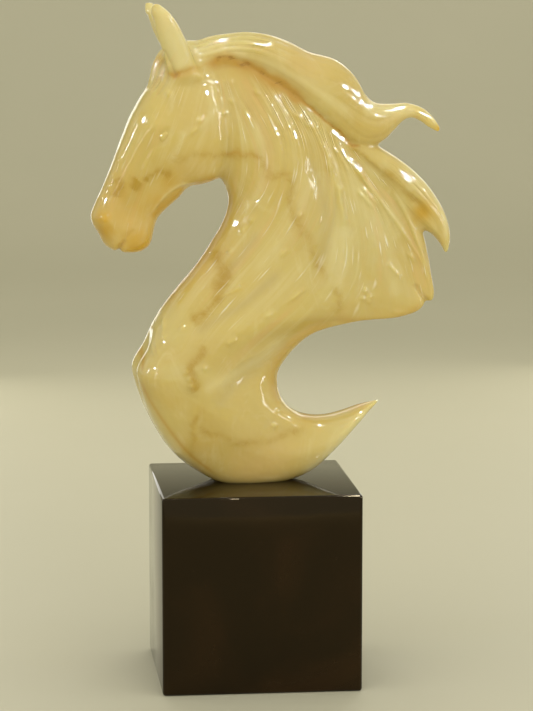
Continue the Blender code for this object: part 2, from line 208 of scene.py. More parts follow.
# Where hair and the stone's streaks run, from the poll down the head, then down neck and mane.
flowLines = (
    ((-38, 220), (-48, 207), (-56, 193), (-64, 177), (-71, 160), (-77, 145), (-81, 134)),
    ((-32, 216), (-40, 200), (-48, 183), (-56, 165), (-63, 148), (-68, 134), (-70, 122)),
    ((-26, 212), (-31, 196), (-36, 180), (-43, 163), (-51, 147), (-57, 132), (-60, 120)),
    ((-19, 208), (-19, 192), (-21, 176), (-27, 160), (-37, 148), (-46, 136), (-52, 126)),
    ((-15, 207), (-10, 190), (-8, 172), (-9, 155), (-13, 140), (-20, 127), (-29, 114), (-38, 102),
        (-46, 90)),
    ((-12, 207), (-8, 195), (-1, 180), (4.8, 165), (3.5, 152), (-5, 137), (-14, 124), (-25, 110),
        (-36, 96), (-46, 80)),
    ((0, 208), (6, 198), (14, 184), (19, 170), (19, 156), (14, 140), (4, 124), (-10, 108), (-24, 92),
        (-38, 72)),
    ((12, 201), (19, 190), (27, 175), (29.5, 162), (28, 147), (21, 130), (8, 112), (-8, 95), (-23, 78),
        (-35, 60)),
    ((24, 193), (33, 177), (38, 163), (40, 148), (38, 132), (31, 115), (18, 98), (2, 82), (-13, 66),
        (-25, 48)),
    ((33, 187), (38, 172), (43, 158), (46, 143), (48.6, 128), (50, 112), (47, 97), (37, 83), (20, 70),
        (4, 58)),
    ((41, 179), (47, 167), (54, 153), (60, 138), (64, 122), (66, 106), (66, 92), (64, 80)),
    ((47, 171), (54, 159), (60, 149), (67.5, 137.5), (75, 123.5), (81, 109), (85, 95), (87, 84)),
    ((54, 167), (61, 159), (69, 150), (77, 140), (84, 129), (89, 116), (92, 104), (95, 88)),
)
firstNeckLine = 4  # the lines before it run down the head

carving = {
    # faces are quartered about the eye and the nostril: x, z, reach
    "fineZones": ((-47.6, 175.6, 6), (-77, 133, 6)),
    # hair fades in or out between each pair: lines across the neck, or shares of the way down or along
    "onNeck": (-0.35, 0.25),
    "onFan": (4.2, 6),
    "neckLocks": {"perLine": 1.15, "depth": 0.8, "wander": 0.3, "top": (0.02, 0.25), "front": (0.25, 0.75),
        "fanEnd": (0.8, 1)},
    "neckHairs": {"perLine": 3.7, "depth": 0.14, "wander": 0.5, "top": (0, 0.06), "down": (0.1, 0.4)},
    "crestHairs": {"count": 8.5, "depth": 0.95, "front": (0.2, 0.42), "outer": (0.45, 0.65),
        "back": (0.5, 0.62), "backEnd": (0.75, 0.85), "start": (0, 0.05), "end": (0.85, 0.95)},
    "lockHairs": {"count": 6.5, "depth": 0.25, "start": (0.22, 0.36), "end": (0.8, 0.95)},
    "forelockHairs": {"count": 5, "depth": 1.1, "acrossWidth": 15, "facing": (0.1, 0.5),
        "start": (0.15, 0.3)},
    # sharp ridges between hollows: line, width, rise
    "ridges": (
        (((36.9, 168.5), (39.9, 158.8), (42.8, 149.1), (44.8, 141.4), (47.7, 128.7)), 1.3, 1.7),
        (((44, 169.5), (47.6, 163.6), (56.4, 152.9), (67.2, 139.2), (77.1, 125.5), (85, 113.7),
            (91, 101.9)), 1.1, 1.2),
        (((53, 147.6), (57.8, 142.2), (62.3, 137.3)), 0.9, 1.1),
        (((55.5, 148.6), (60, 143.6), (64.3, 139)), 0.9, 1),
        (((71, 147), (76, 140.1), (83, 124.5), (87, 115.6), (90.5, 104.5)), 1.1, 1.3),
        (((69.3, 110), (73, 105.5), (77.2, 101.1)), 1, 1),
        (((71.4, 84.5), (75.5, 84), (79.3, 83.9)), 0.8, 0.4),
        (((35.9, 171.4), (38.5, 166.5), (42.2, 158.7)), 0.7, 0.5),
        (((40.5, 170), (45.5, 162.5), (50, 155)), 0.7, 0.5),
        (((20, 178), (25, 163), (24, 147), (17, 130), (6, 114)), 2.2, 0.7),
        (((8, 186), (14, 170), (14, 154), (8, 140), (0, 128)), 1.8, 0.5),
        (((0, 119), (-6, 111), (-12, 103)), 1.2, 0.5),
        (((-18.1, 93.2), (-11.5, 96), (-5, 99.1)), 0.9, 1),
        (((-13.8, 69.5), (-10.8, 70.8), (-7.7, 72.1)), 0.9, 0.9),
        (((-21.5, 206), (-16.5, 200), (-10.6, 191.8)), 1, 0.35),
        (((34, 88), (25.9, 81.4), (18.5, 75), (7.3, 66.8), (-7.6, 59.5), (-16.9, 49.4),
            (-25.3, 38.8)), 4.5, 0.8),
        (((-25.3, 38.8), (-29, 30.9), (-30.9, 22.4), (-31, 11.1)), 3.5, 0.5),
        (((-50.6, 77), (-51.5, 70.1), (-49.8, 63.5)), 0.9, 1),
        (((-48.4, 80), (-49.4, 71.5), (-48, 64.5)), 0.9, 0.9),
        (((-46, 88), (-45.6, 80), (-46.3, 71.8)), 1.4, 1),
        (((-42.3, 216.1), (-46.3, 212.1), (-48.9, 207.2), (-49.9, 203.2)), 0.8, 1.3),
        (((-41.3, 214.1), (-44.8, 210.6), (-47.4, 206.7), (-48.4, 203.2)), 0.8, 1.3),
        (((-40.8, 211.6), (-43.3, 209.1), (-45.4, 205.7), (-46.4, 203.2)), 0.8, 1.3),
    ),
    # line, width, depth
    "grooves": (
        (((-27.8, 210), (-21.8, 212.8), (-13.3, 214.2), (-5.2, 212.1), (2.8, 207.3), (10.9, 202.5),
            (18.2, 197.6), (26.6, 191.3), (37.9, 181.9), (42.7, 177.1), (49.5, 171.7),
            (55.4, 168.3)), 1.1, 0.6),
        (((-70, 116.5), (-66.6, 120.6), (-63, 125.4), (-59.5, 128.8)), 1.4, 0.4),
        (((-70.6, 117.2), (-68.6, 119.6), (-66.6, 121.6)), 1.2, 0.7),
        (((-17.2, 153), (-12.6, 162), (-10.2, 177), (-11.6, 192), (-15.5, 203)), 4.5, 0.9),
        (((44, 86), (30, 76.5), (18, 69), (6, 60.5), (-6, 51.5), (-15, 43), (-20, 34)), 6, 1),
        (((-31, 48), (-35, 38), (-37, 26), (-35, 14)), 6, 0.6),
        (((-43.5, 206.8), (-37.4, 206.4), (-32.3, 207.8), (-27.8, 209.6)), 1.5, 0.6),
        (((-52.5, 158), (-57.5, 150), (-61.5, 140), (-63, 132)), 3.5, 0.5),
        (((-44.7, 218.1), (-48.2, 213.2), (-50.2, 208.2), (-50.8, 203)), 1, 1.2),
        (((26, 172), (31.5, 158), (37, 143), (38.2, 130), (35.5, 113), (30, 100)), 4, 1),
        (((83.5, 99), (86, 95.5), (88.6, 92), (91, 88.6)), 1, 1.3),
    ),
    # line, reach on the raised side, reach on the sunk side, rise, sink
    "ledges": (
        (((-51.8, 136.1), (-46.7, 142.8), (-40.2, 148.6), (-33.6, 151.6), (-26, 152.6)), 4, 3, 0.5, 0.8),
        (((-49, 170.5), (-53.5, 163), (-57.5, 154.5), (-61, 146.5)), 4, 4, 0.5, 0.4),
        (((50, 169.6), (63.2, 159.6), (76.9, 148.8), (86.8, 141), (93.5, 133)), 5, 4, 0.5, 0.5),
    ),
    # x, z, reach, rise
    "swells": (
        (-27, 167, 19, 1),
        (-49, 180.5, 5, 0.9),
        (-75.2, 134.4, 4.4, 1.6),
        (-58.5, 121, 6.5, 0.5),
        (-68.5, 124, 6, 0.6),
        (-64, 139.5, 7, -0.7),
        (-41, 189.5, 7, -0.7),
    ),
    # short marks of the tool that catch the light: x, z, slant, length
    "toolMarks": (
        (-4.5, 128, 50, 2.2), (-0.5, 132.5, 50, 1.8), (-11.5, 116.5, 40, 1.6),
        (15.5, 115.5, 45, 2.4), (22.5, 94, 35, 5), (-45.5, 81, 80, 2.4), (-45.5, 74, 85, 2),
        (-36, 78.5, 40, 2), (-34, 55.5, 60, 1.4), (-32.5, 52, 60, 1.4), (-31.5, 48.5, 60, 1.4),
        (-24.5, 57.5, 10, 1.4), (14, 39, 0, 1.2), (13.5, 35, 0, 1.2), (11, 27, 0, 1.2),
        (38.5, 159, -60, 2.4), (55, 154.5, -50, 3), (24, 134.5, 60, 2.2), (58, 95.5, 45, 1.2),
        (60.5, 92.5, -45, 1.2), (57, 91.5, 20, 1.2), (60, 90, 60, 1.2),
        (-10.5, 192.5, -60, 1.3),
        (-14.5, 186.5, -60, 1.1), (1.5, 197, -45, 1.8), (-50.5, 197.5, 60, 1.6), (-42.5, 196.5, 60, 1.4),
        (-68, 163.5, 75, 1.4), (-71, 156.5, 75, 1.4), (-73, 150.5, 68, 1.4), (-76.5, 145.5, 60, 1.3),
        (23, 184.5, -35, 2.4), (28.5, 180, -40, 2), (45, 147.5, -65, 2), (82, 112.5, -62, 2.4),
        (-30, 178, 48, 3), (-27, 183, 45, 2), (8, 84, 30, 2.2),
    ),
    "markWidth": 1.2,
    "markRise": 1,
    "eye": {"place": (-45, 175), "half": (2.6, 1.5), "slant": 55, "socket": -0.5, "socketReach": 1.9,
        "ball": 0.9, "droop": 0.25, "lift": 0.12},
    "nostril": {"place": (-76.4, 133.2), "half": (1.8, 0.8), "slant": 118, "depth": 0.2},
    "lipNotch": {"line": ((-68.6, 116), (-67.2, 119.5), (-65.5, 122.5)), "width": 1.2, "depth": 1.5},
    "chestGroove": {"line": ((-54, 80), (-57.5, 70), (-61, 60), (-60.5, 50), (-54, 36)), "width": 8,
        "depth": 3.2},
    "earHollow": {"line": ((-44, 211), (-47.5, 219), (-50, 228), (-50.6, 236)), "inward": 2.2,
        "reach": 4, "width": 2.4, "depth": 2.6},
}

# Veins, painted highlights and painted shade as lines of (x, z), with half width in millimetres and strength.
veins = {
    "wiggle": 0.6,
    "brown": (
        (((-43.5, 206.4), (-37.4, 206.4), (-32.3, 207.8), (-27.8, 209.6), (-21.8, 212.4)), 1.3, 0.5),
        (((-24, 211.6), (-13.3, 213.6), (-5.2, 211.6), (2.8, 207.3), (10.9, 202.5), (18.2, 197.6),
            (26.6, 191.3)), 2.8, 1),
        (((10.9, 202.5), (18.2, 197.6), (26.6, 191.3), (37.9, 181.9), (42.7, 177.1), (49.5, 171.7),
            (55.4, 168.3)), 0.8, 1),
        (((-41.5, 206.2), (-39, 206), (-36.5, 206.4)), 1.8, 0.8),
        (((-16, 165.6), (-8.3, 166), (-1, 166), (4, 163)), 1.2, 0.35),
    ),
    "grey": (
        (((-40, 163), (-34, 164.5), (-26.5, 165.6), (-14, 165.8)), 2.6, 0.6),
        (((-20, 165.6), (-8.3, 165.6), (1.3, 165.3), (4.8, 160.3), (7.8, 155.2)), 3.4, 0.8),
        (((-22, 120), (-15.4, 109.7), (-15.4, 101), (-19, 92), (-28, 83)), 7.5, 0.45),
        (((4.8, 160.3), (7.8, 155.2), (16.4, 155.1), (20.5, 147.5), (19, 139.9), (26.6, 124.6),
            (33.3, 110.8), (38, 96)), 3.6, 0.75),
        (((-20.6, 118.4), (-15.4, 109.7), (-15.4, 101), (-18.1, 94)), 4.6, 1.25),
        (((-17, 98), (-18.1, 94), (-25, 84.6), (-32.8, 81.2)), 4, 1.15),
        (((-25.5, 70), (-27.7, 63.6), (-31.2, 58.4), (-30.4, 51.4), (-29, 44)), 3.4, 1.15),
        (((-25.3, 38.8), (-29, 30.9), (-30.9, 22.4), (-31, 11.1)), 2.4, 0.6),
        (((-28, 27), (-23.5, 25.1), (-17, 22.2), (-0.2, 18.1), (14.8, 21.6), (28.8, 26)), 2.8, 0.7),
        (((-68.5, 155), (-67.5, 149.5), (-68.5, 144.5)), 2.6, 1.3),
        (((-61.5, 149), (-59.5, 151.5), (-58, 154.5)), 3, 1.4),
        (((-54.5, 152), (-52, 155), (-46.5, 157), (-41, 155.5)), 2.2, 1.1),
        (((42, 84), (45, 90), (43, 98)), 3, 0.7),
        (((49.5, 170.3), (63.2, 159.6), (76.9, 148.8)), 1.8, 0.7),
        (((63.2, 159), (73, 151), (82, 143.5), (90, 135)), 3, 0.8),
    ),
    # darker lines: painted shade along the grooves of the fan and the shoulder, and grey bands of the stone
    "shade": (
        (((13.8, 105.8), (5.5, 98.5), (-5.7, 89.3), (-20.5, 81.2), (-29.8, 75.7)), 3, 0.6),
        (((3.6, 127.2), (-5.6, 114.4), (-13, 105.2), (-17.7, 97.8)), 3, 0.6),
        (((20, 71), (10, 63), (-2, 55), (-12, 46), (-20, 34)), 4, 0.4),
        (((28.2, 163.7), (33.1, 149.2), (38, 134.7), (37, 120.1), (33.2, 105.6)), 4.5, 0.45),
    ),
    "strip": (
        (((-24, 209.5), (-13, 211), (-4, 209), (5, 203), (13, 197.5)), 3.4, 0.55),
        (((42, 80), (30, 74.5), (20, 69), (13, 61), (10.2, 54), (11, 46), (14, 38)), 3, 0.45),
        (((88, 87), (78, 82.5), (66, 80.5), (54, 80.5), (42, 80)), 2.6, 0.4),
        (((-16, 148), (-13.5, 142), (-16, 132), (-22, 122), (-30, 110), (-38, 100), (-46, 89)), 2.8, 0.8),
        (((-57.6, 51.9), (-50.3, 37.8), (-34.7, 15.9), (-18.9, 2.4)), 1, 0.6),
        (((-52, 134.5), (-47, 139), (-41, 143.5), (-34, 148)), 2.2, 0.6),
        (((24, 33), (34, 34), (46, 37), (60, 39)), 4, 0.8),
        (((-30, 150.5), (-24, 151.5), (-18, 154)), 2.4, 0.6),
        (((-42.5, 206), (-37, 205.4), (-32, 206.8), (-27, 209)), 2.2, 0.5),
        (((-51.9, 79.7), (-54.6, 70.2), (-56.6, 57.1)), 0.7, 0.9),
    ),
    # pale lines: pale streaks of the stone, and painted highlights and reflections on the crest, the lock tops,
    # the jaw's edge, the shoulder and the lower rims
    "paleAndHighlight": (
        (((-61, 62), (-60, 50), (-54, 36), (-44, 19), (-30, 6)), 2.4, 0.8),
        (((26, 1), (38, 10), (50, 22), (62, 35)), 3, 0.9),
        (((-42, 162), (-37, 171), (-34, 178)), 1.4, 0.5),
        (((-27, 179), (-22, 185), (-17, 190)), 1.2, 0.4),
        (((-26, 46), (-12, 53), (4, 62), (16, 71)), 3.5, 0.5),
        (((-28, 217), (-19, 218), (-10.6, 217.6), (-1.7, 214)), 3.6, 0.85),
        (((56, 189), (70, 187), (84, 187)), 5, 0.65),
        (((-11.6, 216), (6, 212), (24.6, 203), (38, 193.5), (50.3, 184.4)), 2.8, 0.5),
        (((-36, 208), (-38, 219), (-43, 230), (-48, 241)), 6, 0.7),
        (((46.8, 129.7), (45.3, 115.2), (43, 95.7)), 4, 0.5),
        (((56, 146), (66, 125), (72, 105), (74, 92)), 5, 0.35),
        (((66, 170), (80, 160), (92, 147), (99, 132), (100.5, 120)), 2.2, 0.7),
        (((28, 158), (24, 140), (14, 122), (0, 105)), 3, 0.35),
        (((-51.2, 136.5), (-45.8, 143.5), (-39.8, 148.9), (-32.5, 152)), 0.9, 0.9),
        (((0, 185), (5, 168), (4, 150), (-6, 134)), 2.6, 0.35),
    ),
    # x, z, reach, strength
    "amber": (
        (-75.4, 134.6, 4.2, 1),
        (-58, 121, 9, 0.9),
        # also a painted glow, where the upper lip's lower side turns away from the light
        (-75, 128, 5.5, 0.9),
        (-43, 151, 7, 0.7),
        (-63, 140, 15, 0.4),
        (-48, 143, 7, 0.6),
        (87.5, 135.5, 5.5, 0.95),
        (96.4, 177.4, 2.8, 1),
        (-47.5, 213, 3.5, 0.8),
        (-8, 207, 9, 0.35),
        (10, 196, 7, 0.2),
    ),
    # peach tints of the stone; the wide one at the foot is a painted glow against the shade by the plinth
    "peach": (
        (2, 2, 24, 0.9),
        (-24, 12, 16, 0.6),
        (-64, 132, 22, 0.9),
        (-20, 190, 22, 0.35),
        (-32, 158, 16, 0.5),
        (-25, 112, 13, 0.9),
        (76, 176, 14, 0.5),
        (26, 214, 17, 0.8),
    ),
    "fresh": (
        (62, 112, 36, 1),
        (8, 212, 34, 0.7),
        (80, 150, 26, 0.6),
        (-42, 222, 17, 1.2),
        (-40, 58, 22, 0.8),
        (50, 26, 18, 0.6),
        (0, 25, 14, 0.35),
    ),
    # thickness of stone: the most that is looked for, where the look starts below
    # the skin, and how often it is evened out
    "deepest": 60,
    "skin": 0.3,
    "evenRounds": 12,
    # where the stone is thinner than this it is painted lighter, as light glowing through it
    "thinBelow": 12,
    "thinFully": 3,
}


def setCamera():
    bpy.ops.object.camera_add(location=view["place"])
    camera = bpy.context.object
    camera.rotation_euler = (math.radians(90 + view["pitch"]), 0, math.radians(view["yaw"]))
    camera.data.lens = view["lens"]
    camera.data.clip_start = 0.01
    bpy.context.scene.camera = camera


def curveThrough(rows, steps):  # a smooth run through rows of numbers
    rows = np.array(rows, float)
    padded = np.vstack((2 * rows[0] - rows[1], rows, 2 * rows[-1] - rows[-2]))
    run = []
    for before, start, end, after in zip(padded, padded[1:], padded[2:], padded[3:]):
        for t in np.arange(steps) / steps:
            bend = (2 * before - 5 * start + 4 * end - after) * t**2
            turn = (3 * start - before - 3 * end + after) * t**3
            run.append(0.5 * (2 * start + (end - before) * t + bend + turn))
    run.append(rows[-1])
    return np.array(run)


def evenRun(line, count):  # the same line with evenly spaced points
    path = curveThrough(line, 12)
    lengths = np.concatenate(([0], np.cumsum(np.hypot(*np.diff(path, axis=0).T))))
    places = np.linspace(0, lengths[-1], count)
    return np.column_stack([np.interp(places, lengths, column) for column in path.T])


def fadeIn(values, low, high):  # 0 at low and 1 at high, eased at both
    share = np.clip((values - low) / (high - low), 0, 1)
    return share * share * (3 - 2 * share)


def fadeOut(values, low, high):
    return 1 - fadeIn(values, low, high)


def bell(distance, width):
    return np.exp(-((distance / width) ** 2))


def tapered(along, rate):  # 1 along a line, and 0 at its two ends
    return np.clip(rate * along * (1 - along), 0, 1)


def distanceFrom(flat, x, z):
    return np.hypot(flat[:, 0] - x, flat[:, 1] - z)


def sectionsOf(name):  # a row of five numbers is widest halfway, round, and as thick inside
    return [row + (0.5, 2, 1)[len(row) - 5:] for row in horse["forms"][name]]


def ringPoints(section, middle):
    outer, inner = section[0:2], section[2:4]
    halfWidth, peak, bluntness, edge = section[4:8]
    power = horse["edgePower"]
    edgeStart = max(0.0, 1 - edge * halfWidth / (np.linalg.norm(inner - outer) * (1 - peak)))
    side = []
    for share in 0.5 - 0.5 * np.cos(np.linspace(0, np.pi, horse["sidePoints"] + 1)):
        if share < peak:
            swell = (1 - (1 - share / peak) ** bluntness) ** (1 / bluntness)
        else:
            fall = (share - peak) / (1 - peak)
            rounding = max(0.0, (fall - edgeStart) / (1 - edgeStart))
            swell = edge + (1 - edge) * (0.5 + 0.5 * math.cos(math.pi * fall))
            swell *= max(0.0, 1 - rounding**power) ** (1 / power)
        x, z = outer + (inner - outer) * share
        side.append((x, halfWidth * swell, z))
    near = [(x, middle - y, z) for x, y, z in side]
    return near + [(x, middle + y, z) for x, y, z in side[-2:0:-1]]


# A ring is added for the first section and extruded from section to section.
def extrudeForm(name, sections, middleStart=0.0, middleEnd=0.0):
    rows = curveThrough(sections, horse["stepsBetween"])
    bpy.ops.object.select_all(action="DESELECT")
    bpy.ops.mesh.primitive_circle_add(vertices=2 * horse["sidePoints"], fill_type="NGON", location=(0, 0, 0))
    form = bpy.context.object
    form.name = name
    bpy.ops.object.mode_set(mode="EDIT")
    for number, middle in enumerate(np.linspace(middleStart, middleEnd, len(rows))):
        if number:
            bpy.ops.mesh.extrude_region_move()
        mesh = bmesh.from_edit_mesh(form.data)
        cap = next(face for face in mesh.faces if face.select)
        for corner, place in zip(cap.verts, ringPoints(rows[number], middle)):
            corner.co = place
        bmesh.update_edit_mesh(form.data)
    bpy.ops.mesh.select_all(action="SELECT")
    bpy.ops.mesh.normals_make_consistent(inside=False)
    bpy.ops.object.mode_set(mode="OBJECT")
    return form


def applyModifier(piece, kind, **values):
    bpy.context.view_layer.objects.active = piece
    modifier = piece.modifiers.new(kind.lower(), kind)
    for name, value in values.items():
        setattr(modifier, name, value)
    bpy.ops.object.modifier_apply(modifier=modifier.name)


def editAlone(piece, select):
    bpy.ops.object.select_all(action="DESELECT")
    piece.select_set(True)
    bpy.context.view_layer.objects.active = piece
    bpy.ops.object.mode_set(mode="EDIT")
    bpy.ops.mesh.select_all(action=select)


def roughHorse():
    forms = [extrudeForm(name, sectionsOf(name)) for name in horse["forms"] if name != "ear"]
    rows = sectionsOf("ear")
    for side in (-1, 1):
        shifts = np.interp([row[1] for row in rows], (rows[0][1], rows[-1][1]), horse["earBack"][side])
        sections = [(row[0] + shift, row[1], row[2] + shift) + row[3:] for row, shift in zip(rows, shifts)]
        forms.append(extrudeForm("ear", sections, side * horse["earBase"], side * horse["earTip"]))
    bpy.ops.object.select_all(action="DESELECT")
    for form in forms:
        form.select_set(True)
    piece = forms[0]
    bpy.context.view_layer.objects.active = piece
    bpy.ops.object.join()
    piece.name = "carvedHorse"
    applyModifier(piece, "REMESH", mode="VOXEL", voxel_size=horse["voxel"])
    applyModifier(piece, "SMOOTH", factor=horse["polishFactor"], iterations=horse["polishRounds"])
    flat = asSeen(readSkin(piece)[0])
    wear = np.zeros(len(flat))
    for x, z, reach in horse["seams"]:
        wear = np.maximum(wear, np.exp(-((distanceFrom(flat, x, z) / reach) ** 4)))
    seams = piece.vertex_groups.new(name="seams")
    for number in np.flatnonzero(wear > horse["leastWear"]):
        seams.add([int(number)], float(wear[number]), "REPLACE")
    rounds = horse["seamRounds"]
    applyModifier(piece, "SMOOTH", factor=horse["polishFactor"], iterations=rounds, vertex_group="seams")
    piece.vertex_groups.clear()
    return piece


def refineFace(piece):  # quarters the faces where small things are carved
    editAlone(piece, "DESELECT")
    mesh = bmesh.from_edit_mesh(piece.data)
    for face in mesh.faces:
        middle = face.calc_center_median()
        if any(math.hypot(middle.x - x, middle.z - z) < reach for x, z, reach in carving["fineZones"]):
            face.select_set(True)
    bmesh.update_edit_mesh(piece.data)
    bpy.ops.mesh.subdivide(number_cuts=1, smoothness=0)
    bpy.ops.object.mode_set(mode="OBJECT")


def cutFoot(piece):
    editAlone(piece, "SELECT")
    bpy.ops.mesh.bisect(plane_co=(0, 0, 0), plane_no=(0, 0, 1), use_fill=True, clear_inner=True)
    bpy.ops.object.mode_set(mode="OBJECT")


def readSkin(piece):
    count = len(piece.data.vertices)
    spots = np.empty(count * 3)
    normals = np.empty(count * 3)
    piece.data.vertices.foreach_get("co", spots)
    piece.data.vertices.foreach_get("normal", normals)
    return spots.reshape(-1, 3), normals.reshape(-1, 3)


# Lines are drawn as the camera sees them on the middle plane, where a nearer point shows
# a little behind and below its own place. The far side mirrors the near one.
def asSeen(spots):
    x, y, z = spots.T
    cameraX, cameraY = perMetre * view["place"][0], perMetre * view["place"][1]
    cameraZ = perMetre * (view["place"][2] - horse["standsAt"])
    share = np.abs(y) / -cameraY
    behind = x + share * (x - cameraX) + np.abs(y) * math.sin(math.radians(horse["turn"]))
    return np.column_stack((behind, z - share * (cameraZ - z)))


# How far each point is from a line, on which side of it, and how far along it.
def lineField(flat, line):
    path = curveThrough(line, 6)
    nearest = np.full(len(flat), np.inf)
    side = np.zeros(len(flat))
    along = np.zeros(len(flat))
    for number, (start, end) in enumerate(zip(path, path[1:])):
        step = end - start
        share = np.clip((flat - start) @ step / (step @ step), 0, 1)
        offset = flat - start - share[:, None] * step
        distance = np.hypot(offset[:, 0], offset[:, 1])
        closer = distance < nearest
        nearest[closer] = distance[closer]
        side[closer] = np.sign(step[0] * offset[closer, 1] - step[1] * offset[closer, 0])
        along[closer] = (number + share[closer]) / (len(path) - 1)
    return nearest, side, along


# Lays a net over lines that run side by side, and reads each point's place on it.
def netField(flat, lines, between=5, count=60):
    stack = np.array([evenRun(line, count).ravel() for line in lines])
    rows = curveThrough(stack, between).reshape(-1, count, 2)
    corners = [Vector((x, 0, z)) for row in rows for x, z in row]
    places = [Vector((u / between, v / (count - 1), 0)) for u in range(len(rows)) for v in range(count)]
    triangles = []
    for u in range(len(rows) - 1):
        for v in range(count - 1):
            first = u * count + v
            triangles.append((first, first + 1, first + count))
            triangles.append((first + 1, first + count + 1, first + count))
    tree = BVHTree.FromPolygons(corners, triangles, all_triangles=True)
    found = np.empty((len(flat), 3))
    for number, (x, z) in enumerate(flat):
        spot, _, index, distance = tree.find_nearest(Vector((x, 0, z)))
        a, b, c = triangles[index]
        place = barycentric_transform(spot, corners[a], corners[b], corners[c], places[a], places[b], places[c])
        found[number] = (place.x, place.y, distance)
    return found.T


# On a band of hair: how far along it, across it (0 on its outer edge, 1 on its inner edge)
# and round it, and how far off it.
def bandField(spots, name):
    rows = curveThrough(sectionsOf(name), 5)
    outer, inner = rows[:, 0:2], rows[:, 2:4]
    across, along, distance = netField(spots[:, 0::2], (outer, (outer + inner) / 2, inner), 4, len(rows))
    across = across / 2
    halfWidth = np.interp(along, np.linspace(0, 1, len(rows)), rows[:, 4])
    around = np.arctan2(np.abs(spots[:, 1]) / halfWidth, 2 * (0.5 - across))
    return along, across, around, distance


def ovalField(flat, place, half, slant):
    turn = math.radians(slant)
    offset = flat - np.array(place)
    along = offset[:, 0] * math.cos(turn) + offset[:, 1] * math.sin(turn)
    across = offset[:, 1] * math.cos(turn) - offset[:, 0] * math.sin(turn)
    return along / half[0], across / half[1]


def furrows(phase, sharpness=0.6):  # 0 on the crests, -1 in the cuts
    return np.abs(np.sin(np.pi * phase)) ** sharpness - 1


# Cuts the hair into push, and gives the place and strength of the finest hairs for the material.
def carveHair(spots, normals, flow, push):
    locks, fines, crest, lock, fore = (
        carving[name] for name in ("neckLocks", "neckHairs", "crestHairs", "lockHairs", "forelockHairs"))
    sides = np.abs(normals[:, 1]) ** 0.7
    crestAlong, crestAcross, crestAround, crestGap = bandField(spots, "crest")
    lockAlong, lockAcross, lockAround, lockGap = bandField(spots, "fallingLock")
    onCrest = fadeOut(crestGap, 0, 1)
    onLock = fadeOut(lockGap, 0, 1) * (1 - onCrest) * fadeIn(lockAlong, *lock["start"])

    # the neck's locks fade out down the front, and less so down the fan behind it
    line, down, gap = flow[0] - firstNeckLine, flow[1], flow[2]
    onNeck = fadeIn(line, *carving["onNeck"]) * fadeOut(gap, 0, 6) * (1 - onCrest) * (1 - onLock)
    fan = fadeIn(line, *carving["onFan"])
    onFan = 0.6 * fan * (1 - 0.6 * fadeIn(down, *locks["fanEnd"]))
    onFront = (1 - fan) * (1 - 0.85 * fadeIn(down, *locks["front"]))
    fade = fadeIn(down, *locks["top"]) * (onFan + onFront)
    fine = fadeIn(down, *fines["top"]) * (1 - 0.85 * fadeIn(down, *fines["down"])) * (1 - 0.6 * fan)
    wander = np.sin(2.2 * line + 5.1 * down + 0.7) + 0.5 * np.sin(5.3 * line - 9 * down)
    uneven = 0.62 + 0.38 * np.sin(1.9 * line + 3.1 * down + 1.2) * np.sin(4.3 * line - 5 * down)
    cuts = furrows(locks["perLine"] * line + locks["wander"] * wander, 0.8)
    push += locks["depth"] * sides * onNeck * fade * uneven * cuts
    cuts = furrows(fines["perLine"] * line + fines["wander"] * wander + 0.3)
    push += fines["depth"] * sides * onNeck * fine * cuts

    # the crest has its rows on the outer front half, and a few before its tip
    front = 0.85 * fadeOut(crestAlong, *crest["front"]) * fadeOut(crestAcross, *crest["outer"])
    back = 0.3 * fadeIn(crestAlong, *crest["back"]) * fadeOut(crestAlong, *crest["backEnd"])
    bands = 0.15 + front + back
    wave = 0.15 * np.sin(9 * crestAlong + 1.2 * crestAround)
    edges = fadeIn(crestAlong, *crest["start"]) * fadeOut(crestAlong, *crest["end"])
    cuts = furrows(crest["count"] * crestAround / np.pi + wave + 0.5)
    push += crest["depth"] * onCrest * bands * edges * cuts

    cuts = furrows(lock["count"] * lockAround / np.pi + 0.1 * np.sin(8 * lockAlong) + 0.5)
    push += lock["depth"] * onLock * fadeOut(lockAlong, *lock["end"]) * cuts

    foreAlong, _, _, foreGap = bandField(spots, "forelock")
    ahead = fadeIn(-normals[:, 0], *fore["facing"]) * fadeOut(foreGap, 0, 1.5) * fadeIn(foreAlong, *fore["start"])
    push += fore["depth"] * ahead * furrows(fore["count"] * spots[:, 1] / fore["acrossWidth"] + 0.5)

    # the finest hairs are bump: where across them, where along them, how strong
    clear = fadeIn(crestGap, 0.5, 3) * fadeIn(lockGap, 0.5, 3)
    neckHair = np.column_stack((line, 3 * down, onNeck * (0.12 + 0.2 * fine) * clear))
    strength = bands * fadeIn(1 - crestAcross, 0, 0.12) * fadeIn(crestAlong, 0.1, 0.16)
    crestHair = np.column_stack((2.6 * crestAround / np.pi + 20, 4 * crestAlong, strength))
    strength = 0.6 * fadeIn(1 - lockAcross, 0, 0.2) * fadeIn(crestGap, 1, 3) * fadeIn(lockAlong, 0.3, 0.4)
    lockHair = np.column_stack((2.2 * lockAround / np.pi + 40, 3 * lockAlong, strength))
    hair = np.where((lockGap < 0.01)[:, None], lockHair, neckHair)
    return np.where((crestGap < 0.01)[:, None], crestHair, hair)


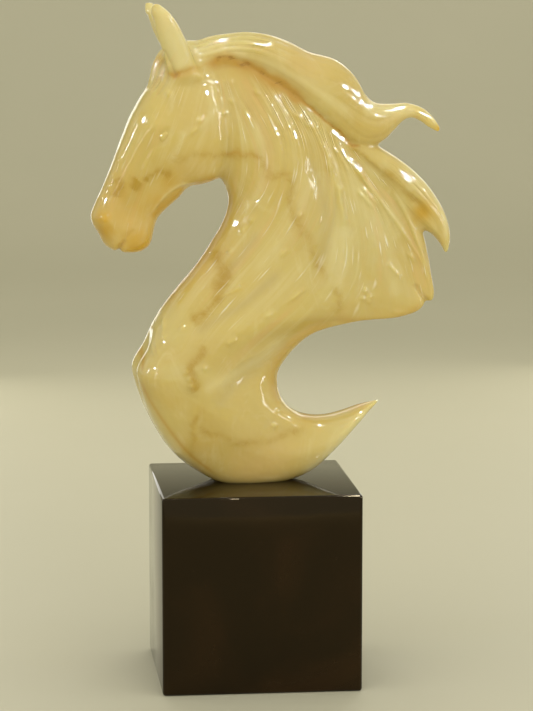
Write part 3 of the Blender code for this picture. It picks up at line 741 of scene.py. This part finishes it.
def carveFace(spots, normals, push):
    flat = asSeen(spots)
    sides = np.abs(normals[:, 1])
    for line, width, depth in carving["grooves"]:
        distance, _, along = lineField(flat, line)
        push -= depth * sides * bell(distance, width) * tapered(along, 8)
    for line, raisedReach, sunkReach, rise, sink in carving["ledges"]:
        distance, side, along = lineField(flat, line)
        raised = rise * np.exp(-distance / raisedReach)
        sunk = rise - (rise + sink) * (1 - np.exp(-distance)) * np.exp(-((distance / sunkReach) ** 2) / 4)
        push += np.where(side > 0, raised, sunk) * (tapered(along, 8) * sides) * bell(distance, 9)
    for line, width, rise in carving["ridges"]:
        distance, _, along = lineField(flat, line)
        push += rise * sides * np.exp(-distance / width) * tapered(along, 6)
    for x, z, reach, rise in carving["swells"]:
        push += rise * sides * np.exp(-((distanceFrom(flat, x, z) / reach) ** 2) * 1.6)
    for x, z, slant, length in carving["toolMarks"]:
        along, across = ovalField(flat, (x, z), (length, carving["markWidth"]), slant)
        push += carving["markRise"] * sides * np.exp(-(along**2) - across**2)

    eye = carving["eye"]
    a, b = ovalField(flat, eye["place"], eye["half"], eye["slant"])
    around = np.hypot(a, b + eye["droop"] * a * a - eye["lift"])
    push += sides * eye["socket"] * np.exp(-((np.hypot(a, b) / eye["socketReach"]) ** 4))
    push += sides * eye["ball"] * np.sqrt(np.clip(1 - around**2, 0, 1))

    nostril = carving["nostril"]
    a, b = ovalField(flat, nostril["place"], nostril["half"], nostril["slant"])
    push -= sides * nostril["depth"] * np.exp(-(np.hypot(a, b) ** 3))

    notch = carving["lipNotch"]
    distance, _, _ = lineField(flat, notch["line"])
    push -= notch["depth"] * bell(distance, notch["width"]) * fadeIn(normals[:, 2], 0.2, -0.6)

    groove = carving["chestGroove"]
    distance, _, along = lineField(flat, groove["line"])
    reach = (distance**2 + spots[:, 1] ** 2) / groove["width"] ** 2
    push -= groove["depth"] * np.exp(-reach) * tapered(along, 5)

    hollow = carving["earHollow"]
    distance, _, along = lineField(flat, hollow["line"])
    off = np.abs(spots[:, 1]) - horse["earBase"] - (horse["earTip"] - horse["earBase"]) * (0.3 + 0.7 * along)
    off += hollow["inward"]
    reach = ((distance / hollow["reach"]) ** 2 + off**2) / hollow["width"] ** 2
    push -= hollow["depth"] * np.exp(-reach) * fadeIn(-normals[:, 0], 0, 0.6) * tapered(along, 6)


# How much stone lies behind each point, evened out over its neighbours.
def thickness(piece, spots, normals):
    tree = BVHTree.FromPolygons([Vector(s) for s in spots], [face.vertices[:] for face in piece.data.polygons])
    deepest = veins["deepest"]
    depth = np.full(len(spots), float(deepest))
    for number, (spot, normal) in enumerate(zip(spots, normals)):
        inward = -Vector(normal)
        _, _, _, distance = tree.ray_cast(Vector(spot) + inward * veins["skin"], inward, deepest)
        if distance is not None:
            depth[number] = distance
    edges = np.empty(len(piece.data.edges) * 2, np.int32)
    piece.data.edges.foreach_get("vertices", edges)
    first, second = edges.reshape(-1, 2).T
    count = len(depth)
    neighbours = np.bincount(first, minlength=count) + np.bincount(second, minlength=count)
    for _ in range(veins["evenRounds"]):
        total = np.bincount(first, depth[second], count) + np.bincount(second, depth[first], count)
        depth = total / neighbours
    return depth


def addAttribute(piece, name, values):
    kind = "FLOAT_VECTOR" if values.ndim == 2 else "FLOAT"
    attribute = piece.data.attributes.new(name, kind, "POINT")
    attribute.data.foreach_set("vector" if values.ndim == 2 else "value", values.astype(np.float32).ravel())


# Writes where each vein and tint lies, and the painted highlights, shade and glow, for the material to read.
def markStone(piece, spots, normals, flow):
    flat = asSeen(spots)
    farSide = np.where(spots[:, 1] > 0, 3.7, 0.0)  # moves the far side's pattern along
    addAttribute(piece, "flow", np.column_stack((flow[0], flow[1], farSide)))
    ends = fadeIn(flow[1], 0, 0.05) * fadeOut(flow[2], 0, 8)
    addAttribute(piece, "onFlow", ends * (1 - 0.85 * fadeIn(flow[1], 0.78, 0.98)))
    x, z = flat.T
    bent = flat + veins["wiggle"] * np.column_stack((
        np.sin(0.42 * z + 0.13 * x) + 0.5 * np.sin(0.97 * z - 0.5 * x),
        np.sin(0.37 * x - 0.1 * z) + 0.5 * np.sin(0.89 * x + 0.3 * z)))
    for kind in ("brown", "grey", "shade", "strip", "paleAndHighlight"):
        core = np.zeros(len(flat))
        for line, width, strength in veins[kind]:
            distance, _, along = lineField(bent if kind in ("brown", "grey") else flat, line)
            share = strength * (0.25 + 0.75 * tapered(along, 12))
            core = np.maximum(core, share / (1 + (distance / width) ** 2) ** 1.5)
        addAttribute(piece, kind + "Vein", core)
    # the thinner the stone, the more painted glow the material lays on it
    behind = thickness(piece, spots, normals)
    addAttribute(piece, "thin", fadeOut(behind, veins["thinFully"], veins["thinBelow"]))
    for kind in ("amber", "fresh", "peach"):
        tint = np.zeros(len(flat))
        for x, z, reach, strength in veins[kind]:
            tint = np.maximum(tint, strength * bell(distanceFrom(flat, x, z), reach))
        addAttribute(piece, kind, tint)


def makeHorse():
    piece = roughHorse()
    refineFace(piece)
    cutFoot(piece)
    spots, normals = readSkin(piece)
    print("the horse's forms are one skin of", len(spots), "points")
    push = np.zeros(len(spots))
    carveHair(spots, normals, netField(asSeen(spots), flowLines), push)
    carveFace(spots, normals, push)
    push *= fadeIn(spots[:, 2], 0, 3)  # the foot stays flat
    piece.data.vertices.foreach_set("co", (spots + normals * push[:, None]).ravel())
    piece.data.update()
    applyModifier(piece, "SMOOTH", factor=horse["lastPolish"], iterations=1)
    applyModifier(piece, "TRIANGULATE")
    share = horse["mostTriangles"] / len(piece.data.polygons)
    applyModifier(piece, "DECIMATE", ratio=min(1.0, share), use_collapse_triangulate=True)
    spots, normals = readSkin(piece)
    flow = netField(asSeen(spots), flowLines)
    addAttribute(piece, "hair", carveHair(spots, normals, flow, np.zeros(len(spots))))
    markStone(piece, spots, normals, flow)
    turn = Matrix.Rotation(math.radians(horse["turn"]), 4, "Z")
    piece.data.transform(Matrix.Translation((0, 0, horse["standsAt"])) @ turn @ Matrix.Scale(1 / perMetre, 4))
    piece.data.shade_smooth()
    print("the horse is carved in", len(piece.data.polygons), "triangles")
    return piece


def makePlinth():
    bpy.ops.object.select_all(action="DESELECT")
    bpy.ops.mesh.primitive_cube_add(size=plinth["size"], location=(0, 0, plinth["size"] / 2))
    piece = bpy.context.object
    piece.name = "plinthBlock"
    bpy.ops.object.transform_apply(location=True, rotation=True, scale=True)
    editAlone(piece, "SELECT")
    bpy.ops.mesh.bevel(offset=plinth["bevel"], segments=plinth["bevelSteps"], affect="EDGES")
    bpy.ops.object.mode_set(mode="OBJECT")
    bpy.ops.object.shade_smooth_by_angle(angle=math.radians(plinth["sharpAngle"]))
    print("the plinth is bevelled")
    return piece


def addNode(tree, kind, inputs=None, **settings):
    node = tree.nodes.new(kind)
    for name, value in settings.items():
        setattr(node, name, value)
    for key, value in (inputs or {}).items():
        if isinstance(value, bpy.types.NodeSocket):
            tree.links.new(value, node.inputs[key])
        else:
            node.inputs[key].default_value = value
    return node


def attributeOf(tree, name, output="Fac"):
    return addNode(tree, "ShaderNodeAttribute", attribute_name=name).outputs[output]


def objectPlace(tree):
    return addNode(tree, "ShaderNodeTexCoord").outputs["Object"]


def times(tree, first, second):
    return addNode(tree, "ShaderNodeMath", {0: first, 1: second}, operation="MULTIPLY").outputs[0]


def plus(tree, first, second):
    return addNode(tree, "ShaderNodeMath", {0: first, 1: second}, operation="ADD").outputs[0]


def noise(tree, vector, scale, detail=3.0, roughness=0.55, distortion=0.0):
    inputs = {"Vector": vector, "Scale": scale, "Detail": detail}
    inputs.update({"Roughness": roughness, "Distortion": distortion})
    return addNode(tree, "ShaderNodeTexNoise", inputs).outputs["Fac"]


# Noise that is drawn out, by a scale for each direction.
def grain(tree, vector, scale, detail, roughness, distortion):
    stretched = addNode(tree, "ShaderNodeMapping", {"Vector": vector, "Scale": scale}).outputs[0]
    return noise(tree, stretched, 1.0, detail, roughness, distortion)


def rampOf(tree, value, low, high):
    inputs = {"Value": value, "From Min": low, "From Max": high, "To Min": 0.0, "To Max": 1.0}
    return addNode(tree, "ShaderNodeMapRange", inputs, interpolation_type="SMOOTHSTEP").outputs[0]


def mixColour(tree, factor, first, second):
    return addNode(tree, "ShaderNodeMix", {0: factor, 6: first, 7: second}, data_type="RGBA").outputs[2]


def bumpOf(tree, height, settings, normal=None):
    inputs = {"Height": height, "Strength": settings[0], "Distance": settings[1]}
    if normal is not None:
        inputs["Normal"] = normal
    return addNode(tree, "ShaderNodeBump", inputs).outputs["Normal"]


# The slight waves and haze that hand polishing leaves, for both stones.
def polishGroup():
    group = bpy.data.node_groups.new("handPolish", "ShaderNodeTree")
    for name, value in (("Wave Size", 60.0), ("Low", 0.04), ("High", 0.12)):
        group.interface.new_socket(name, in_out="INPUT", socket_type="NodeSocketFloat").default_value = value
    for name in ("Roughness", "Height"):
        group.interface.new_socket(name, in_out="OUTPUT", socket_type="NodeSocketFloat")
    start = group.nodes.new("NodeGroupInput").outputs
    end = group.nodes.new("NodeGroupOutput").inputs
    place = objectPlace(group)
    waves = noise(group, place, start["Wave Size"], 2.0)
    haze = noise(group, place, 35.0, 4.0, 0.6)
    spread = {"Value": haze, "From Min": 0.3, "From Max": 0.75, "To Min": start["Low"], "To Max": start["High"]}
    group.links.new(addNode(group, "ShaderNodeMapRange", spread).outputs[0], end["Roughness"])
    group.links.new(waves, end["Height"])
    return group


def newMaterial(name):
    made = bpy.data.materials.new(name)
    made.use_nodes = True
    return made, made.node_tree, made.node_tree.nodes["Principled BSDF"]


def finishStone(tree, shader, colour, roughness, normal, values):
    tree.links.new(colour, shader.inputs["Base Color"])
    tree.links.new(roughness, shader.inputs["Roughness"])
    tree.links.new(normal, shader.inputs["Normal"])
    for name, value in values.items():
        shader.inputs[name].default_value = value


stone = {
    "cream": (0.605, 0.462, 0.132, 1),
    "deep": (0.555, 0.395, 0.100, 1),
    # a pale cream, for the stone's pale streaks and for painted highlights
    "paleAndHighlight": (0.720, 0.620, 0.300, 1),
    "fresh": (0.615, 0.528, 0.225, 1),
    "peach": (0.650, 0.435, 0.150, 1),
    "brown": (0.510, 0.265, 0.025, 1),
    "darkBrown": (0.270, 0.125, 0.014, 1),
    "olive": (0.425, 0.250, 0.010, 1),
    "shade": (0.510, 0.390, 0.150, 1),
    "strip": (0.530, 0.300, 0.040, 1),
    "amber": (0.570, 0.340, 0.030, 1),
    # a lighter colour painted where the stone is thin, as light glowing through it
    "glow": (0.680, 0.570, 0.240, 1),
    # a near white painted into the nicks as glints
    "paintedGlint": (0.900, 0.850, 0.640, 1),
    # what is laid over the cream, in turn: the mask, how much of it, the colour
    "layers": (
        ("fresh", 0.8, "fresh"),
        ("peach", 0.7, "peach"),
        ("clouds", 0.7, "deep"),
        ("veil", 0.35, "paleAndHighlight"),
        ("paleBands", 0.35, "paleAndHighlight"),
        ("peachBands", 0.55, "peach"),
        ("threads", 0.2, "paleAndHighlight"),
        # painted glow where the stone is thin
        ("thin", 0.55, "glow"),
        # pale streaks and painted highlights
        ("paleAndHighlightVein", 1.0, "paleAndHighlight"),
        ("shadeVein", 1.0, "shade"),
        ("stripVein", 1.0, "strip"),
        ("amberPatches", 1.0, "amber"),
        ("greyVein", 0.36, "olive"),
        ("greyPatches", 0.62, "olive"),
        ("brownVein", 0.45, "brown"),
        ("brownPatches", 0.6, "brown"),
        ("brownCore", 0.6, "darkBrown"),
        ("nicksAndGlints", 0.6, "paintedGlint"),
    ),
    # noise through the stone: scale, detail, roughness, distortion
    "clouds": (13.0, 4.0, 0.55, 1.2),
    "broken": (130.0, 6.0, 0.7, 1.2),
    "patches": (30.0, 3.0, 0.6, 0.5),
    # drawn out noise, with a scale for each direction: the first through the stone, the rest along the hair
    "veil": ((50, 50, 24), 4.0, 0.6, 1.8),
    "bands": ((1.9, 1.5, 1), 3.0, 0.5, 0.6),
    "threads": ((7.5, 1.8, 1), 3.0, 0.55, 0.4),
    "nickSpots": ((8.0, 7.0, 1), 1.0, 0.4, 0.2),
    "bundles": ((5.0, 1.3, 0), 2.0, 0.5, 0.3),
    "strands": ((15.0, 1.5, 0), 1.0, 0.5, 0.2),
    # bumps: strength and distance
    "waveBump": (0.15, 0.003),
    "hairBump": (1.0, 0.0006),
    "nickBump": (0.7, 0.0004),
    "polish": {"Wave Size": 90.0, "Low": 0.04, "High": 0.09},
    "shader": {
        "IOR": 1.55,
        "Subsurface Weight": 0.5,
        "Subsurface Radius": (1.0, 0.82, 0.42),
        "Subsurface Scale": 0.010,
    },
}


def creamStone(polish):
    made, tree, shader = newMaterial("creamStone")
    place = objectPlace(tree)
    flow = attributeOf(tree, "flow", "Vector")
    onFlow = attributeOf(tree, "onFlow")
    names = ("fresh", "peach", "thin", "paleAndHighlightVein", "shadeVein", "stripVein", "greyVein", "brownVein")
    masks = {name: attributeOf(tree, name) for name in names}

    masks["clouds"] = rampOf(tree, noise(tree, place, *stone["clouds"]), 0.42, 0.68)
    masks["veil"] = rampOf(tree, grain(tree, place, *stone["veil"]), 0.5, 0.78)
    bands = grain(tree, flow, *stone["bands"])
    masks["paleBands"] = times(tree, rampOf(tree, bands, 0.5, 0.7), onFlow)
    masks["peachBands"] = times(tree, rampOf(tree, bands, 0.46, 0.3), onFlow)
    threads = grain(tree, flow, *stone["threads"])
    masks["threads"] = times(tree, rampOf(tree, threads, 0.56, 0.74), onFlow)

    # veins are broken up by fine noise, and patches by coarse noise
    broken = noise(tree, place, *stone["broken"])
    patches = noise(tree, place, *stone["patches"])
    masks["amberPatches"] = times(tree, attributeOf(tree, "amber"), rampOf(tree, patches, 0.2, 0.6))
    grey = times(tree, masks["greyVein"], rampOf(tree, broken, 0.2, 0.82))
    masks["greyPatches"] = rampOf(tree, grey, 0.05, 0.9)
    brown = times(tree, masks["brownVein"], rampOf(tree, patches, 0.25, 0.6))
    masks["brownPatches"] = rampOf(tree, brown, 0.05, 0.7)
    core = times(tree, masks["brownVein"], rampOf(tree, broken, 0.35, 0.65))
    masks["brownCore"] = rampOf(tree, core, 0.55, 1.0)

    # small nicks along the hair, fewer on the face: cut into the bump, with a painted glint as their colour
    lineNumber = addNode(tree, "ShaderNodeSeparateXYZ", {0: flow}).outputs["X"]
    onNeck = plus(tree, 0.35, times(tree, rampOf(tree, lineNumber, 3.0, 4.5), 0.65))
    nicksAndGlints = rampOf(tree, grain(tree, flow, *stone["nickSpots"]), 0.64, 0.80)
    masks["nicksAndGlints"] = times(tree, times(tree, nicksAndGlints, onFlow), onNeck)

    colour = stone["cream"]
    for mask, amount, name in stone["layers"]:
        colour = mixColour(tree, times(tree, masks[mask], amount), colour, stone[name])

    hair = attributeOf(tree, "hair", "Vector")
    strength = addNode(tree, "ShaderNodeSeparateXYZ", {0: hair}).outputs["Z"]
    bundles = grain(tree, hair, *stone["bundles"])
    strands = grain(tree, hair, *stone["strands"])
    lines = times(tree, plus(tree, bundles, times(tree, strands, 0.3)), strength)
    polished = addNode(tree, "ShaderNodeGroup", stone["polish"], node_tree=polish).outputs
    normal = bumpOf(tree, polished["Height"], stone["waveBump"])
    normal = bumpOf(tree, lines, stone["hairBump"], normal)
    normal = bumpOf(tree, masks["nicksAndGlints"], stone["nickBump"], normal)
    finishStone(tree, shader, colour, polished["Roughness"], normal, stone["shader"])
    return made


plinthStone = {
    "dark": (0.0050, 0.0032, 0.0016, 1),
    "cloud": (0.0140, 0.0065, 0.0025, 1),
    "speck": (0.022, 0.015, 0.009, 1),
    "clouds": (14.0, 3.0, 0.5, 0.8),
    "specks": (420.0, 2.0, 0.6),
    "waveBump": (0.03, 0.002),
    "polish": {"Wave Size": 25.0, "Low": 0.035, "High": 0.085},
    "shader": {"IOR": 1.42, "Specular Tint": (0.85, 0.62, 0.34, 1)},
}


def darkStone(polish):
    made, tree, shader = newMaterial("darkStone")
    place = objectPlace(tree)
    clouds = rampOf(tree, noise(tree, place, *plinthStone["clouds"]), 0.42, 0.7)
    specks = rampOf(tree, noise(tree, place, *plinthStone["specks"]), 0.62, 0.75)
    colour = mixColour(tree, clouds, plinthStone["dark"], plinthStone["cloud"])
    colour = mixColour(tree, times(tree, specks, 0.25), colour, plinthStone["speck"])
    polished = addNode(tree, "ShaderNodeGroup", plinthStone["polish"], node_tree=polish).outputs
    normal = bumpOf(tree, polished["Height"], plinthStone["waveBump"])
    finishStone(tree, shader, colour, polished["Roughness"], normal, plinthStone["shader"])
    return made


coolLight = (0.82, 0.93, 1.0)

# Each lamp: name, place, the height it points at, width, height, watts, colour.
studio = {
    "floorSize": 6.0,
    "sweepBehind": 3.0,
    "sweepRise": 3.0,
    "sweepRound": 1.2,
    "sweepSteps": 16,
    "floor": ((0.50, 0.46, 0.315, 1), (0.54, 0.49, 0.34, 1)),
    "floorRoughness": 0.6,
    "sky": (0.84, 0.86, 0.80, 1),
    "skyStrength": 0.95,
    "fills": (
        ("overhead", (-0.2, -0.6, 1.8), 0.2, 1.2, 1.2, 5.0, (1.0, 0.98, 0.93)),
        ("frontFill", (0.5, -3.0, 0.6), 0.15, 2.4, 1.2, 30.0, (1.0, 0.98, 0.92)),
    ),
    "edges": (
        ("leftEdge", (-0.25, 0.95, 0.36), 0.2, 0.22, 0.66, 0.65, (0.98, 0.98, 0.94)),
        ("rightEdge", (0.48, 0.95, 0.36), 0.2, 0.22, 0.66, 0.65, (1.0, 0.99, 0.93)),
        ("topEdge", (0.10, 0.95, 0.72), 0.25, 1.1, 0.35, 1.8, (1.0, 0.99, 0.95)),
    ),
    # seen in the polish alone
    "glints": (
        ("leftLamp", (-1.60, -0.50, 1.00), 0.2, 0.10, 0.10, 15.0, coolLight),
        ("middleLamp", (0.05, -1.35, 1.65), 0.2, 0.05, 0.05, 3.5, coolLight),
        ("rightLamp", (0.55, -0.45, 1.75), 0.2, 0.10, 0.10, 15.0, coolLight),
        ("topLamp", (-0.30, -0.50, 1.90), 0.2, 0.10, 0.10, 15.0, coolLight),
        ("sideLamp", (1.25, -1.10, 0.80), 0.2, 0.08, 0.08, 9.0, coolLight),
        ("cornerLamp", (1.70, -0.30, 1.20), 0.2, 0.10, 0.10, 16.0, coolLight),
        ("sideStrip", (-1.80, 0.10, 0.70), 0.2, 0.06, 0.35, 2.5, (0.9, 0.96, 1.0)),
        ("leftStrip", (-1.50, -1.30, 0.55), 0.2, 0.10, 1.0, 1.2, (0.94, 0.97, 1.0)),
        ("rightStrip", (1.60, -0.80, 0.55), 0.2, 0.10, 1.0, 3.0, (0.94, 0.97, 1.0)),
    ),
}


def addLamp(name, place, aim, wide, tall, watts, colour):
    bpy.ops.object.light_add(type="AREA", location=place)
    lamp = bpy.context.object
    lamp.name = name
    lamp.data.shape = "RECTANGLE"
    lamp.data.size = wide
    lamp.data.size_y = tall
    lamp.data.energy = watts
    lamp.data.color = colour
    lamp.visible_camera = False
    lamp.rotation_euler = (Vector((0, 0, aim)) - Vector(place)).to_track_quat("-Z", "Y").to_euler()
    return lamp


# The floor's far edge is moved back, raised into a wall, and rounded where it turns up.
def makeFloor():
    size, behind = studio["floorSize"], studio["sweepBehind"]
    bpy.ops.object.select_all(action="DESELECT")
    bpy.ops.mesh.primitive_plane_add(size=size, location=(0, 0, 0))
    floor = bpy.context.object
    floor.name = "floorSweep"
    bpy.ops.object.transform_apply(location=True, rotation=True, scale=True)
    editAlone(floor, "DESELECT")
    mesh = bmesh.from_edit_mesh(floor.data)
    for edge in mesh.edges:
        if all(corner.co.y > size / 2 - 0.01 for corner in edge.verts):
            edge.select_set(True)
            for corner in edge.verts:
                corner.co.y = behind
    bmesh.update_edit_mesh(floor.data)
    bpy.ops.mesh.extrude_region_move(TRANSFORM_OT_translate={"value": (0, 0, studio["sweepRise"])})
    bpy.ops.mesh.select_all(action="DESELECT")
    mesh = bmesh.from_edit_mesh(floor.data)
    for edge in mesh.edges:
        if all(abs(corner.co.y - behind) < 0.01 and corner.co.z < 0.01 for corner in edge.verts):
            edge.select_set(True)
    bmesh.update_edit_mesh(floor.data)
    bpy.ops.mesh.bevel(offset=studio["sweepRound"], segments=studio["sweepSteps"], affect="EDGES")
    bpy.ops.object.mode_set(mode="OBJECT")
    floor.data.shade_smooth()
    made, tree, shader = newMaterial("paleFloor")
    colour = mixColour(tree, noise(tree, objectPlace(tree), 3.0, 3.0), *studio["floor"])
    tree.links.new(colour, shader.inputs["Base Color"])
    shader.inputs["Roughness"].default_value = studio["floorRoughness"]
    floor.data.materials.append(made)


def makeStudio():
    makeFloor()
    world = bpy.data.worlds.new("paleRoom")
    bpy.context.scene.world = world
    world.use_nodes = True
    sky = world.node_tree.nodes["Background"].inputs
    sky["Color"].default_value = studio["sky"]
    sky["Strength"].default_value = studio["skyStrength"]
    for kind in ("fills", "edges", "glints"):
        for settings in studio[kind]:
            lamp = addLamp(*settings)
            lamp.visible_glossy = kind != "fills"
            lamp.visible_diffuse = kind != "glints"
    bpy.context.scene.view_settings.view_transform = "Standard"
    print("the studio is lit")


def dress(piece, material, node):
    piece.data.materials.clear()
    piece.data.materials.append(material)
    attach(piece, "root")
    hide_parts(node)


setCamera()
makeStudio()
polish = polishGroup()
dress(makePlinth(), darkStone(polish), "plinth")
dress(makeHorse(), creamStone(polish), "horse")
print("both pieces are dressed")
